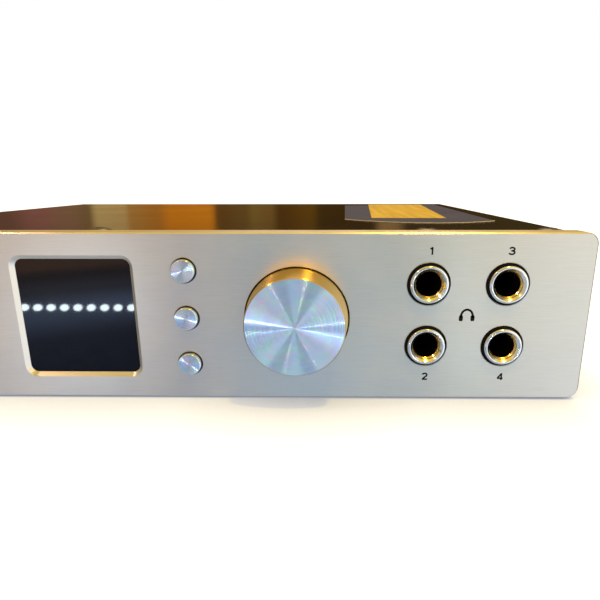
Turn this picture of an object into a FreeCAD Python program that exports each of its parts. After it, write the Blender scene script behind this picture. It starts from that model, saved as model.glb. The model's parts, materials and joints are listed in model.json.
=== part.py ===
import FreeCAD, Part
import math
import os

# Half-width rack headphone amplifier, one rack unit high.
# Every piece is modelled with the front panel's face in the plane y = 0, the
# face looking towards -Y, and the surface it stands on at z = 0.
# save() then moves each piece by FRAME_SHIFT, which puts the origin at the
# middle of the footprint.

V = FreeCAD.Vector
X_AXIS = V(1, 0, 0)
Y_AXIS = V(0, 1, 0)
Z_AXIS = V(0, 0, 1)

# ---- overall sizes ----
PANEL_WIDTH = 215.0
PANEL_HEIGHT = 44.0
PANEL_THICK = 6.0
PANEL_LIFT = 0.5
PANEL_CORNER = 3.0
EDGE_CHAMFER = 0.35
BODY_DEPTH = 165.0
SHEET = 1.2
MID_Z = PANEL_LIFT + PANEL_HEIGHT / 2

# ---- display window ----
WINDOW_X = -23.9
WINDOW_WIDTH = 29.4
WINDOW_HEIGHT = 30.6
WINDOW_CORNER = 2.0
WINDOW_BEVEL = 1.0
WINDOW_BEVEL_DEPTH = 0.87
LENS_DEPTH = 0.9
LENS_FLANGE_Y = 3.0
LENS_BACK_Y = 4.5
LENS_FLANGE = 2.0
FIT_GAP = 0.05

# ---- push buttons ----
FUNCTION_X = 4.6
FUNCTION_PITCH = 12.45
STANDBY_X = -76.0
BUTTON_R = 2.96
BUTTON_HOLE_R = 3.26
BUTTON_PROUD = 1.2
LIGHT_X = -64.0
LIGHT_R = 1.0

# ---- volume knob and encoder ----
KNOB_X = 33.0
KNOB_Z = MID_Z - 0.1
KNOB_BASE_R = 13.17
KNOB_TOP_R = 12.45
KNOB_PROUD = 8.2
KNOB_RECESS_R = 13.52
KNOB_RECESS_DEPTH = 3.0
KNOB_SKIRT_Y = 2.0
SHAFT_R = 3.0
BUSH_R = 3.5

# ---- 6.35 mm jacks ----
JACK_COLUMNS = (66.45, 86.25)
JACK_ROWS = (PANEL_LIFT + 31.0, PANEL_LIFT + 14.6)
JACK_HOLE_R = 5.5
JACK_NOSE_R = 5.42
JACK_BORE_R = 3.25
JACK_BORE_END = 30.8
JACK_BOX = 15.6
JACK_BOX_END = 32.5
FERRULE_R = 4.83
FERRULE_THROAT_R = 3.6
FERRULE_PROUD = 1.0
FERRULE_END = 1.2

# ---- sheet metal case ----
COVER_HALF_WIDTH = PANEL_WIDTH / 2 - 0.5
COVER_TOP = PANEL_LIFT + PANEL_HEIGHT - 0.8
CASE_BOTTOM = PANEL_LIFT + 0.8
TRAY_HALF_WIDTH = COVER_HALF_WIDTH - SHEET - 0.1
TRAY_FLOOR = CASE_BOTTOM + SHEET
LIP_TOP = COVER_TOP - SHEET - 0.1
FRONT_WALL_Y = PANEL_THICK
REAR_Y = BODY_DEPTH
FRONT_LIP_END = 19.0
REAR_LIP_START = 152.0
COVER_SCREW_Y = 10.5
COVER_SCREWS_FRONT = (-99.6, -20.6, 67.4, 99.6)
COVER_SCREWS_REAR = (-98.0, 0.0, 98.0)
COVER_HEAD_R = 3.1
COVER_HEAD_H = 0.9
SIDE_SCREW_Y = (35.0, 85.0, 135.0)
SIDE_SCREW_Z = 8.5
PANEL_SCREWS = [(x, z) for x in (-100.0, 100.0) for z in (8.0, 37.0)]
FOOT_R = 6.0
FEET = [(x, y) for x in (-92.0, 92.0) for y in (20.0, 146.0)]

# ---- rear panel ----
INLET_X = -75.0
ROCKER_X = -38.0
ROCKER_TILT = 8.0
LINE_JACKS = (2.0, 24.0, 46.0, 68.0)
LINE_NOSE_R = 4.5
LINE_NOSE_PROUD = 3.6
USB_X = 91.0
POST_X = -19.0
POST_Z = 13.0

# ---- boards and inner parts ----
BOARD = 1.6
BOARD_Z = 8.0
BOARD_TOP = BOARD_Z + BOARD
FRONT_BOARD_Y = 12.0
MAIN_BOARD = (-28.0, 100.0, 40.0, 134.0)
SUPPLY_BOARD = (-102.0, -34.0, 22.0, 56.0)
TOROID_X = -64.0
TOROID_Y = 94.0
TOROID_R = 31.0
TOROID_HOLE_R = 10.0

REAR_PROUD = 3.9
FRAME_SHIFT = V(0, (KNOB_PROUD - REAR_PROUD - BODY_DEPTH) / 2, 0)


# ---- building blocks ----
def box(x0, x1, y0, y1, z0, z1):
    """A block between two corners."""
    return Part.makeBox(x1 - x0, y1 - y0, z1 - z0, V(x0, y0, z0))


def block_at(x, z, width, height, y0, y1):
    """A block centred on (x, z) that runs from y0 to y1."""
    return box(x - width / 2, x + width / 2, y0, y1, z - height / 2, z + height / 2)


def rod_x(y, z, radius, x0, x1):
    """A cylinder along X."""
    return Part.makeCylinder(radius, x1 - x0, V(x0, y, z), X_AXIS)


def rod_y(x, z, radius, y0, y1):
    """A cylinder along Y."""
    return Part.makeCylinder(radius, y1 - y0, V(x, y0, z), Y_AXIS)


def rod_z(x, y, radius, z0, z1):
    """A cylinder along Z."""
    return Part.makeCylinder(radius, z1 - z0, V(x, y, z0), Z_AXIS)


def cone_y(x, z, r0, r1, y0, y1):
    """A cone along Y with radius r0 at y0 and r1 at y1."""
    return Part.makeCone(r0, r1, y1 - y0, V(x, y0, z), Y_AXIS)


def rounded_outline(x, z, width, height, radius, y):
    """A closed rounded rectangle in the plane of one y, centred on (x, z)."""
    hx = width / 2 - radius
    hz = height / 2 - radius
    corners = ((hx, hz, 0), (-hx, hz, 90), (-hx, -hz, 180), (hx, -hz, 270))
    arcs = []
    for dx, dz, start in corners:
        points = []
        for turn in (0, 45, 90):
            a = math.radians(start + turn)
            points.append(V(x + dx + radius * math.cos(a), y, z + dz + radius * math.sin(a)))
        arcs.append(points)
    edges = []
    for i, points in enumerate(arcs):
        edges.append(Part.Arc(*points).toShape())
        edges.append(Part.makeLine(points[2], arcs[(i + 1) % 4][0]))
    return Part.Wire(edges)


def rounded_block(x, z, width, height, radius, y0, y1):
    """A block with four rounded edges along Y."""
    face = Part.Face(rounded_outline(x, z, width, height, radius, y0))
    return face.extrude(V(0, y1 - y0, 0))


def hexagon_y(x, z, across, y0, y1):
    """A hexagonal prism along Y, measured across its flats."""
    r = across / math.sqrt(3)
    points = [V(x + r * math.cos(math.radians(60 * i)), y0, z + r * math.sin(math.radians(60 * i)))
              for i in range(7)]
    return Part.Face(Part.makePolygon(points)).extrude(V(0, y1 - y0, 0))


def hexagon_z(x, y, across, z0, z1):
    """A hexagonal prism along Z, measured across its flats."""
    r = across / math.sqrt(3)
    points = [V(x + r * math.cos(math.radians(60 * i)), y + r * math.sin(math.radians(60 * i)), z0)
              for i in range(7)]
    return Part.Face(Part.makePolygon(points)).extrude(V(0, 0, z1 - z0))


def turned(x, z, profile):
    """A solid of revolution about a Y axis through (x, z), from (radius, y) points."""
    points = [V(x + r, y, z) for r, y in profile]
    face = Part.Face(Part.makePolygon(points + points[:1]))
    return face.revolve(V(x, 0, z), Y_AXIS, 360)


def edges_in_plane(shape, axis, level):
    """The edges of a shape that lie in the plane where one coordinate is level."""
    found = []
    for edge in shape.Edges:
        if all(abs(getattr(vertex.Point, axis) - level) < 1e-4 for vertex in edge.Vertexes):
            found.append(edge)
    return found


def pan_screw(head_r, head_h, shank_r, length):
    """A low domed screw with a cross recess: head above z = 0, shank below it."""
    rim = head_h * 0.35
    crown = Part.Arc(V(head_r, 0, rim), V(head_r * 0.72, 0, head_h * 0.86), V(0, 0, head_h)).toShape()
    outline = Part.makePolygon([V(0, 0, head_h), V(0, 0, -length), V(shank_r, 0, -length),
                                V(shank_r, 0, 0), V(head_r, 0, 0), V(head_r, 0, rim)])
    screw = Part.Face(Part.Wire(outline.Edges + [crown])).revolve(V(0, 0, 0), Z_AXIS, 360)
    half = head_r * 0.5
    blade = head_r * 0.11
    depth = head_h * 0.4
    cross = box(-half, half, -blade, blade, depth, head_h + 1)
    return screw.cut(cross.fuse(box(-blade, blade, -half, half, depth, head_h + 1)))


def flush_screw(shank_r, head_r, length):
    """A countersunk screw: a head one sheet deep just below z = 0, a cross recess, and the shank under it."""
    head = Part.makeCone(shank_r + 0.1, head_r, SHEET - 0.05, V(0, 0, -SHEET))
    recess = box(-1.1, 1.1, -0.25, 0.25, -0.8, 0.8).fuse(box(-0.25, 0.25, -1.1, 1.1, -0.8, 0.8))
    return head.fuse(rod_z(0, 0, shank_r, -SHEET - length, -SHEET)).cut(recess)


def countersink(shank_r, head_r):
    """The seat for a flush screw, one sheet deep below z = 0."""
    return Part.makeCone(shank_r + 0.15, head_r + 0.05, SHEET, V(0, 0, -SHEET))


def placed(shape, position, facing):
    """A copy of a screw-like shape moved so that its +Z looks along facing."""
    copy = shape.copy()
    copy.Placement = FreeCAD.Placement(position, FreeCAD.Rotation(Z_AXIS, facing))
    return copy


def wire_path(points, bend):
    """Straight runs joined by tangent arcs of one radius."""
    edges = []
    start = points[0]
    for before, corner, after in zip(points, points[1:], points[2:]):
        inward = (before - corner).normalize()
        outward = (after - corner).normalize()
        half_angle = inward.getAngle(outward) / 2
        reach = bend / math.tan(half_angle)
        first = corner + inward * reach
        last = corner + outward * reach
        bisector = (inward + outward).normalize()
        middle = corner + bisector * (bend / math.sin(half_angle) - bend)
        edges.append(Part.makeLine(start, first))
        edges.append(Part.Arc(first, middle, last).toShape())
        start = last
    edges.append(Part.makeLine(start, points[-1]))
    return Part.Wire(edges)


def lead(points, radius, bend):
    """A round insulated lead that follows straight runs and tangent arcs."""
    path = wire_path(points, bend)
    ring = Part.Wire(Part.makeCircle(radius, points[0], (points[1] - points[0]).normalize()))
    return path.makePipeShell([ring], True, False)


def save(name, *shapes):
    """Write one node, moved into the row frame."""
    solids = [solid for shape in shapes for solid in shape.Solids]
    result = solids[0] if len(solids) == 1 else Part.makeCompound(solids)
    moved = result.copy()
    moved.translate(FRAME_SHIFT)
    moved.exportStep("parts/" + name + ".step")


# ---- front panel ----
def window_cut():
    """Bevelled display opening with a wider pocket behind it for the lens flange."""
    outer = rounded_outline(WINDOW_X, MID_Z, WINDOW_WIDTH + 2 * WINDOW_BEVEL,
                            WINDOW_HEIGHT + 2 * WINDOW_BEVEL, WINDOW_CORNER + WINDOW_BEVEL, 0)
    inner = rounded_outline(WINDOW_X, MID_Z, WINDOW_WIDTH, WINDOW_HEIGHT, WINDOW_CORNER,
                            WINDOW_BEVEL_DEPTH)
    bevel = Part.makeLoft([outer, inner], True, True)
    throat = rounded_block(WINDOW_X, MID_Z, WINDOW_WIDTH, WINDOW_HEIGHT, WINDOW_CORNER,
                           WINDOW_BEVEL_DEPTH, PANEL_THICK)
    grow = 2 * (LENS_FLANGE + FIT_GAP)
    pocket = rounded_block(WINDOW_X, MID_Z, WINDOW_WIDTH + grow, WINDOW_HEIGHT + grow,
                           WINDOW_CORNER, LENS_FLANGE_Y, PANEL_THICK)
    return [bevel, throat, pocket]


def broken_hole(x, z, radius, chamfer):
    """A through hole in the panel with its front edge broken."""
    return [rod_y(x, z, radius, -1, PANEL_THICK + 1), cone_y(x, z, radius + chamfer, radius, 0, chamfer)]


def button_places():
    """Names and centres of the push buttons, from the top one down."""
    places = []
    for i in range(3):
        places.append(("function_button_%d" % (i + 1), FUNCTION_X, MID_Z + (1 - i) * FUNCTION_PITCH))
    places.append(("standby_button", STANDBY_X, MID_Z))
    return places


def jack_places():
    """Number and centre of each headphone jack, column by column."""
    places = [(x, z) for x in JACK_COLUMNS for z in JACK_ROWS]
    return list(enumerate(places, start=1))


def front_panel():
    """Machined aluminium face with every opening that the controls need."""
    plate = rounded_block(0, MID_Z, PANEL_WIDTH, PANEL_HEIGHT, PANEL_CORNER, 0, PANEL_THICK)
    plate = plate.makeChamfer(EDGE_CHAMFER, edges_in_plane(plate, "y", 0))
    cuts = window_cut()
    for _, x, z in button_places():
        cuts += broken_hole(x, z, BUTTON_HOLE_R, 0.15)
    for _, (x, z) in jack_places():
        cuts += broken_hole(x, z, JACK_HOLE_R, 0.18)
    cuts += broken_hole(LIGHT_X, MID_Z, LIGHT_R + FIT_GAP, 0.1)
    cuts.append(rod_y(KNOB_X, KNOB_Z, KNOB_RECESS_R, -1, KNOB_RECESS_DEPTH))
    cuts.append(cone_y(KNOB_X, KNOB_Z, KNOB_RECESS_R + 0.15, KNOB_RECESS_R, 0, 0.15))
    cuts.append(rod_y(KNOB_X, KNOB_Z, BUSH_R + 0.1, 0, PANEL_THICK + 1))
    for x, z in PANEL_SCREWS:
        cuts.append(rod_y(x, z, 1.5, 2.5, PANEL_THICK + 1))
    save("front_panel", plate.cut(Part.makeCompound(cuts)))


def display():
    """Dark lens with a flange behind the panel's lip, and the display module behind it."""
    boss = rounded_block(WINDOW_X, MID_Z, WINDOW_WIDTH - 2 * FIT_GAP, WINDOW_HEIGHT - 2 * FIT_GAP,
                         WINDOW_CORNER - FIT_GAP, LENS_DEPTH, LENS_FLANGE_Y + 0.5)
    flange = rounded_block(WINDOW_X, MID_Z, WINDOW_WIDTH + 2 * LENS_FLANGE,
                           WINDOW_HEIGHT + 2 * LENS_FLANGE, WINDOW_CORNER, LENS_FLANGE_Y, LENS_BACK_Y)
    save("display_window", boss.fuse(flange).removeSplitter())
    glass = block_at(WINDOW_X, MID_Z, 32.0, 33.0, LENS_BACK_Y + 0.1, 8.0)
    board = block_at(WINDOW_X, MID_Z, 35.0, 34.6, 8.0, 9.4)
    header = block_at(WINDOW_X, MID_Z - 14, 22.0, 2.5, 9.4, FRONT_BOARD_Y)
    save("display_module", glass.fuse(board).fuse(header))


def buttons():
    """Turned aluminium caps, each with a retaining flange and a stem for its switch."""
    for name, x, z in button_places():
        edge = 0.3
        save(name, turned(x, z, [(0, -BUTTON_PROUD), (BUTTON_R - edge, -BUTTON_PROUD),
                                 (BUTTON_R, -BUTTON_PROUD + edge), (BUTTON_R, PANEL_THICK + 0.1),
                                 (4.4, PANEL_THICK + 0.1), (4.4, 7.0), (1.5, 7.0), (1.5, 9.0), (0, 9.0)]))


def front_electronics():
    """Upright board behind the panel, its tactile switches, and the status light's pipe."""
    board = box(-90, 52, FRONT_BOARD_Y, FRONT_BOARD_Y + BOARD, 5.0, 39.5)
    save("front_board", board.cut(rod_y(KNOB_X, KNOB_Z, SHAFT_R + 0.5, 0, 20)))
    switches = []
    for _, x, z in button_places():
        body = block_at(x, z, 6.0, 6.0, 8.6, FRONT_BOARD_Y)
        switches.append(body.cut(rod_y(x, z, 1.75, 8, 10.2)))
    save("tactile_switches", *switches)
    pipe = rod_y(LIGHT_X, MID_Z, LIGHT_R, 0.1, 10.8)
    save("light_pipe", pipe.fuse(rod_y(LIGHT_X, MID_Z, 2.0, 7.4, 10.8)))


def volume_control():
    """Solid turned knob on the shaft of a panel-mounted rotary encoder."""
    face_r = KNOB_TOP_R - 0.28
    front = -KNOB_PROUD
    waist = Part.Arc(V(KNOB_BASE_R, -0.6, 0), V((KNOB_BASE_R + KNOB_TOP_R) / 2 - 0.12, -4.2, 0),
                     V(KNOB_TOP_R, front + 0.3, 0)).toShape()
    rest = Part.makePolygon([V(KNOB_TOP_R, front + 0.3, 0), V(face_r, front, 0), V(0, front, 0),
                             V(0, -6.4, 0), V(SHAFT_R + 0.02, -6.4, 0), V(SHAFT_R + 0.02, -1.6, 0),
                             V(7.5, -1.6, 0), V(7.5, KNOB_SKIRT_Y, 0), V(KNOB_BASE_R, KNOB_SKIRT_Y, 0),
                             V(KNOB_BASE_R, -0.6, 0)])
    knob = Part.Face(Part.Wire([waist] + rest.Edges)).revolve(V(0, 0, 0), Y_AXIS, 360)
    knob.translate(V(KNOB_X, 0, KNOB_Z))
    grub_y = -4.0
    knob = knob.cut(rod_z(KNOB_X, grub_y, 1.5, KNOB_Z - KNOB_BASE_R - 1, KNOB_Z))
    save("volume_knob", knob)
    grub = rod_z(KNOB_X, grub_y, 1.45, KNOB_Z - 9.0, KNOB_Z - SHAFT_R)
    save("knob_grub_screw", grub.cut(hexagon_z(KNOB_X, grub_y, 1.5, KNOB_Z - 10, KNOB_Z - 7.4)))
    save("encoder_shaft", rod_y(KNOB_X, KNOB_Z, SHAFT_R, -6.2, 11.0))

    housing = block_at(KNOB_X, KNOB_Z, 12.0, 12.0, PANEL_THICK + 0.05, FRONT_BOARD_Y)
    bush = rod_y(KNOB_X, KNOB_Z, BUSH_R, 0.8, PANEL_THICK + 1)
    encoder = housing.fuse(bush).cut(rod_y(KNOB_X, KNOB_Z, SHAFT_R + 0.05, 0, 11.2))
    save("encoder_body", encoder)
    nut = hexagon_y(KNOB_X, KNOB_Z, 10.0, 1.0, KNOB_RECESS_DEPTH)
    save("encoder_nut", nut.cut(rod_y(KNOB_X, KNOB_Z, BUSH_R + 0.02, 0, 4)))


# ---- jacks ----
def headphone_jacks():
    """Black jack bodies whose noses fill the panel holes, each with a chrome mouth ferrule."""
    for number, (x, z) in jack_places():
        body = block_at(x, z, JACK_BOX, JACK_BOX, FRONT_WALL_Y + SHEET + 0.1, JACK_BOX_END)
        nose = turned(x, z, [(0, 0.35), (JACK_NOSE_R - 0.25, 0.35), (JACK_NOSE_R, 0.6),
                             (JACK_NOSE_R, 8.0), (0, 8.0)])
        seat = rod_y(x, z, FERRULE_R + 0.02, -1, FERRULE_END)
        bore = rod_y(x, z, JACK_BORE_R, 0, JACK_BORE_END)
        save("headphone_jack_%d" % number, body.fuse(nose).cut(seat.fuse(bore)))
        mouth = -FERRULE_PROUD
        ring = [(FERRULE_THROAT_R, FERRULE_END), (FERRULE_THROAT_R, mouth + 0.45),
                (FERRULE_THROAT_R + 0.12, mouth + 0.2), (FERRULE_THROAT_R + 0.38, mouth),
                (FERRULE_R - 0.45, mouth), (FERRULE_R - 0.16, mouth + 0.12),
                (FERRULE_R, mouth + 0.4), (FERRULE_R, FERRULE_END)]
        save("jack_ferrule_%d" % number, turned(x, z, ring))
    board = box(56.0, 97.0, JACK_BOX_END + 0.4, JACK_BOX_END + 2.0, 5.0, 40.0)
    save("jack_board", board)


def line_connections():
    """Balanced line jacks through the rear wall, with their washers and nuts outside."""
    bodies = []
    nuts = []
    inside = REAR_Y - SHEET - 0.1
    tip = REAR_Y + LINE_NOSE_PROUD
    for x in LINE_JACKS:
        body = block_at(x, MID_Z, JACK_BOX, JACK_BOX, inside - 25.0, inside)
        nose = turned(x, MID_Z, [(0, inside - 1), (LINE_NOSE_R, inside - 1), (LINE_NOSE_R, tip - 0.3),
                                 (LINE_NOSE_R - 0.3, tip), (0, tip)])
        bore = rod_y(x, MID_Z, JACK_BORE_R, tip - JACK_BORE_END, tip + 1)
        mouth = cone_y(x, MID_Z, JACK_BORE_R, JACK_BORE_R + 0.5, tip - 0.5, tip)
        bodies.append(body.fuse(nose).cut(bore.fuse(mouth)))
        hole = rod_y(x, MID_Z, LINE_NOSE_R + 0.02, REAR_Y - 1, tip + 1)
        washer = rod_y(x, MID_Z, 7.0, REAR_Y, REAR_Y + 0.6)
        hexagon = hexagon_y(x, MID_Z, 12.0, REAR_Y + 0.6, REAR_Y + 2.8)
        dome = cone_y(x, MID_Z, 7.6, 6.1, REAR_Y + 0.6, REAR_Y + 2.8)
        nuts.append(hexagon.common(dome).fuse(washer).cut(hole))
    save("line_jacks", *bodies)
    save("line_jack_nuts", *nuts)


# ---- case ----
def front_wall_openings():
    """Clearance in the front bracket's wall for everything that passes through it."""
    cuts = [block_at(WINDOW_X, MID_Z, 38.0, 38.0, 0, 10)]
    for _, x, z in button_places():
        cuts.append(rod_y(x, z, 5.2, 0, 10))
    for _, (x, z) in jack_places():
        cuts.append(rod_y(x, z, JACK_NOSE_R + 0.4, 0, 10))
    cuts.append(rod_y(KNOB_X, KNOB_Z, 9.0, 0, 10))
    cuts.append(rod_y(LIGHT_X, MID_Z, 2.4, 0, 10))
    for x, z in PANEL_SCREWS:
        cuts.append(rod_y(x, z, 1.6, 0, 10))
    return cuts


def rear_wall_openings():
    """Cut-outs for the mains inlet, switch, line jacks, data socket and earth post."""
    y0 = REAR_Y - 5
    y1 = REAR_Y + 1
    cuts = [block_at(INLET_X, MID_Z, 28.2, 20.6, y0, y1)]
    cuts += [rod_y(INLET_X + dx, MID_Z, 1.6, y0, y1) for dx in (-20.0, 20.0)]
    cuts.append(block_at(ROCKER_X, MID_Z, 13.2, 19.4, y0, y1))
    cuts += [rod_y(x, MID_Z, LINE_NOSE_R + 0.1, y0, y1) for x in LINE_JACKS]
    cuts.append(block_at(USB_X, MID_Z, 12.6, 11.6, y0, y1))
    cuts.append(rod_y(POST_X, POST_Z, 2.1, y0, y1))
    return cuts


def chassis_tray():
    """Folded steel tray: the floor and two low side flanges."""
    w = TRAY_HALF_WIDTH
    floor = box(-w, w, FRONT_WALL_Y, REAR_Y, CASE_BOTTOM, TRAY_FLOOR)
    flanges = [box(x, x + SHEET, 20.0, 150.0, CASE_BOTTOM, 14.0) for x in (-w, w - SHEET)]
    threads = [rod_x(y, SIDE_SCREW_Z, 1.3, -w - 1, w + 1) for y in SIDE_SCREW_Y]
    tray = floor.multiFuse(flanges).removeSplitter()
    save("chassis_tray", tray.cut(Part.makeCompound(threads)))


def end_wall(name, outer_y, inner_y, lip_end, openings):
    """An upright wall with a lip along its top that the cover's screws go into."""
    w = TRAY_HALF_WIDTH
    wall = box(-w, w, min(outer_y, inner_y), max(outer_y, inner_y), TRAY_FLOOR, LIP_TOP)
    lip = box(-w, w, min(outer_y, lip_end), max(outer_y, lip_end), LIP_TOP - SHEET, LIP_TOP)
    places = front_cover_screws() + rear_cover_screws()
    threads = [rod_z(x, y, 1.5, LIP_TOP - 3, LIP_TOP + 1) for x, y in places]
    save(name, wall.fuse(lip).removeSplitter().cut(Part.makeCompound(openings + threads)))


def end_walls():
    """Front bracket behind the panel, and the rear panel with the connectors."""
    front = FRONT_WALL_Y
    end_wall("front_bracket", front, front + SHEET, FRONT_LIP_END, front_wall_openings())
    end_wall("rear_panel", REAR_Y, REAR_Y - SHEET, REAR_LIP_START, rear_wall_openings())


def front_cover_screws():
    """Where the low-headed screws of the cover's front edge sit."""
    return [(x, COVER_SCREW_Y) for x in COVER_SCREWS_FRONT]


def rear_cover_screws():
    """Where the flush screws of the cover's rear edge sit."""
    return [(x, REAR_Y - 6.0) for x in COVER_SCREWS_REAR]


def side_cover_screws():
    """Where the flush screws of the cover's sides sit, and which way each faces."""
    return [(V(side * COVER_HALF_WIDTH, y, SIDE_SCREW_Z), V(side, 0, 0))
            for y in SIDE_SCREW_Y for side in (-1, 1)]


def vent_slots():
    """A row of upright slots in each side of the cover, over the transformer and boards."""
    slots = []
    for side in (-1, 1):
        for i in range(14):
            slot = rounded_block(0, 0, 2.4, 16.0, 1.19, -2, 2)
            slot.rotate(V(0, 0, 0), Z_AXIS, 90)
            slot.translate(V(side * COVER_HALF_WIDTH, 60.0 + 6.0 * i, 27.0))
            slots.append(slot)
    return slots


def top_cover():
    """Folded steel cover: the top and both sides, with rounded folds."""
    w = COVER_HALF_WIDTH
    y0 = FRONT_WALL_Y + 0.05
    outer = box(-w, w, y0, REAR_Y, CASE_BOTTOM, COVER_TOP)
    folds = [edge for edge in outer.Edges
             if all(abs(v.Point.z - COVER_TOP) < 1e-4 for v in edge.Vertexes)
             and abs(edge.Vertexes[0].Point.x - edge.Vertexes[1].Point.x) < 1e-4]
    outer = outer.makeFillet(1.7, folds)
    inner = box(-w + SHEET, w - SHEET, y0 - 1, REAR_Y + 1, CASE_BOTTOM - 1, COVER_TOP - SHEET)
    cover = outer.cut(inner)
    cuts = [rod_z(x, y, 1.7, COVER_TOP - 3, COVER_TOP + 1) for x, y in front_cover_screws()]
    cuts += [placed(countersink(1.45, 2.6), V(x, y, COVER_TOP), Z_AXIS) for x, y in rear_cover_screws()]
    cuts += [placed(countersink(1.25, 2.35), place, facing) for place, facing in side_cover_screws()]
    cuts += vent_slots()
    save("top_cover", cover.cut(Part.makeCompound(cuts)))


def fasteners():
    """Screws of the cover, panel, boards and rear connectors."""
    low_head = pan_screw(COVER_HEAD_R, COVER_HEAD_H, 1.45, 3.5)
    flush = flush_screw(1.45, 2.6, 2.3)
    front = [placed(low_head, V(x, y, COVER_TOP), Z_AXIS) for x, y in front_cover_screws()]
    rear = [placed(flush, V(x, y, COVER_TOP), Z_AXIS) for x, y in rear_cover_screws()]
    save("cover_screws", *front, *rear)
    small_flush = flush_screw(1.25, 2.35, 3.5)
    save("side_screws", *[placed(small_flush, place, facing) for place, facing in side_cover_screws()])
    behind = pan_screw(2.75, 1.8, 1.4, 4.2)
    save("panel_screws", *[placed(behind, V(x, FRONT_WALL_Y + SHEET, z), Y_AXIS) for x, z in PANEL_SCREWS])
    inlet = pan_screw(2.6, 1.5, 1.45, 6.0)
    places = [V(INLET_X + dx, REAR_Y + 2.4, MID_Z) for dx in (-20.0, 20.0)]
    save("inlet_screws", *[placed(inlet, at, Y_AXIS) for at in places])


def feet():
    """Thin round rubber pads under the four corners of the floor."""
    pads = []
    for x, y in FEET:
        pad = rod_z(x, y, FOOT_R, 0, CASE_BOTTOM)
        pads.append(pad.makeChamfer(0.4, edges_in_plane(pad, "z", 0)))
    save("rubber_feet", *pads)


# ---- rear connectors ----
def mains_inlet():
    """Appliance inlet with a screw flange, and its three blades."""
    face = REAR_Y + 2.4
    floor = face - 16.5
    flange = rounded_block(INLET_X, MID_Z, 50.0, 24.0, 11.9, REAR_Y, face)
    flange = flange.makeChamfer(0.5, edges_in_plane(flange, "y", face))
    body = block_at(INLET_X, MID_Z, 27.8, 20.2, floor - 3.0, REAR_Y + 1)
    points = [(-12.4, -8.5), (12.4, -8.5), (12.4, 4.0), (7.9, 8.5), (-7.9, 8.5), (-12.4, 4.0)]
    outline = [V(INLET_X + x, floor, MID_Z + z) for x, z in points]
    recess = Part.Face(Part.makePolygon(outline + outline[:1])).extrude(V(0, 20, 0))
    holes = [rod_y(INLET_X + dx, MID_Z, 1.6, REAR_Y - 1, face + 1) for dx in (-20.0, 20.0)]
    blades = []
    slots = []
    for dx, dz in ((-7.0, -1.9), (7.0, -1.9), (0.0, 2.1)):
        blade = block_at(INLET_X + dx, MID_Z + dz, 2.0, 4.0, floor - 9.0, face - 1.5)
        blades.append(blade.makeChamfer(0.4, edges_in_plane(blade, "y", face - 1.5)))
        slots.append(block_at(INLET_X + dx, MID_Z + dz, 2.02, 4.02, floor - 9.0, floor + 1))
    inlet = flange.fuse(body).cut(Part.makeCompound([recess] + holes + slots))
    save("mains_inlet", inlet)
    save("inlet_blades", *blades)


def rocker_switch():
    """Snap-in rocker switch: a frame with side cheeks and the tilting rocker on its pin."""
    face = REAR_Y + 1.6
    pivot_y = REAR_Y - 3.0
    bezel = rounded_block(ROCKER_X, MID_Z, 15.0, 21.0, 1.0, REAR_Y, face)
    bezel = bezel.makeChamfer(0.4, edges_in_plane(bezel, "y", face))
    body = block_at(ROCKER_X, MID_Z, 12.8, 19.0, REAR_Y - 19.0, REAR_Y + 1)
    well = block_at(ROCKER_X, MID_Z, 10.4, 17.0, REAR_Y - 11.0, face + 1)
    pin_hole = rod_x(pivot_y, MID_Z, 1.05, ROCKER_X - 6.0, ROCKER_X + 6.0)
    save("rocker_frame", bezel.fuse(body).cut(well.fuse(pin_hole)))

    half = 7.4
    brow = face + 1.2
    ridge = Part.Arc(V(0, brow, half), V(0, face - 0.8, 0), V(0, brow, -half)).toShape()
    rest = Part.makePolygon([V(0, brow, -half), V(0, pivot_y - 1.2, -half + 1.4),
                             V(0, pivot_y - 3.4, 0), V(0, pivot_y - 1.2, half - 1.4), V(0, brow, half)])
    paddle = Part.Face(Part.Wire([ridge] + rest.Edges)).extrude(V(9.6, 0, 0))
    paddle.translate(V(-4.8, 0, 0))
    paddle = paddle.fuse(rod_x(pivot_y, 0, 1.0, -5.9, 5.9))
    paddle.rotate(V(0, pivot_y, 0), X_AXIS, -ROCKER_TILT)
    paddle.translate(V(ROCKER_X, 0, MID_Z))
    save("power_rocker", paddle)


def small_sockets():
    """Square data socket with its tongue, and the earth post."""
    inside = REAR_Y - 15.0
    shell = block_at(USB_X, MID_Z, 12.0, 11.0, inside, REAR_Y + 0.6)
    mouth = block_at(USB_X, MID_Z, 8.6, 8.0, inside + 3, REAR_Y + 1)
    tongue = block_at(USB_X, MID_Z + 0.4, 5.6, 3.2, inside + 2, REAR_Y - 0.6)
    save("data_socket", shell.cut(mouth).fuse(tongue))
    stud = rod_y(POST_X, POST_Z, 2.0, REAR_Y - 7.0, REAR_Y + 3.4)
    knurl = rod_y(POST_X, POST_Z, 4.0, REAR_Y + 0.8, REAR_Y + 3.0)
    knurl = knurl.makeChamfer(0.3, edges_in_plane(knurl, "y", REAR_Y + 3.0))
    washer = rod_y(POST_X, POST_Z, 4.6, REAR_Y, REAR_Y + 0.8)
    nut = hexagon_y(POST_X, POST_Z, 7.0, REAR_Y - SHEET - 3.2, REAR_Y - SHEET)
    save("earth_post", stud.multiFuse([knurl, washer, nut]))


# ---- boards, supply and amplifier ----
def board_corners(outline, inset):
    """The four fixing points of a board."""
    x0, x1, y0, y1 = outline
    return [(x, y) for x in (x0 + inset, x1 - inset) for y in (y0 + inset, y1 - inset)]


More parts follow.
